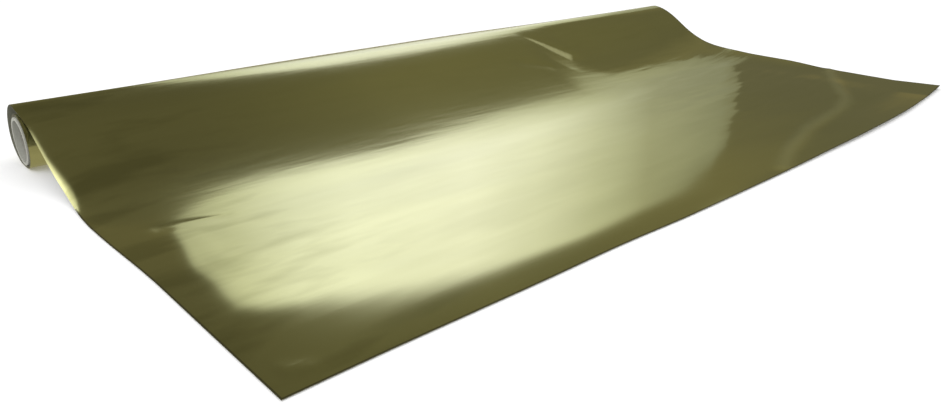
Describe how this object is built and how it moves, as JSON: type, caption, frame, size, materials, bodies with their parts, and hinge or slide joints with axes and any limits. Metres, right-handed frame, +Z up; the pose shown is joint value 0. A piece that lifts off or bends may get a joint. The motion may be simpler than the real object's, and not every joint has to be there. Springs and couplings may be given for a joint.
{
  "type": "roll of craft foil",
  "caption": "Partly unrolled roll of gold craft foil on a narrow paperboard tube, its free end lying flat.",
  "frame": {"origin": "on the floor, below the middle of the whole object's box", "axes": "+X along the tube, the web's free end towards -Y, +Z up"},
  "size_m": [0.5, 0.2626, 0.0296],
  "materials": {
    "gold_foil": "mirror-bright gold metallised face, pale matt back",
    "paperboard": "matt grey-white wound board"
  },
  "bodies": {
    "root": {"core_tube": "paperboard", "foil_web": "gold_foil"}
  },
  "joints": []
}
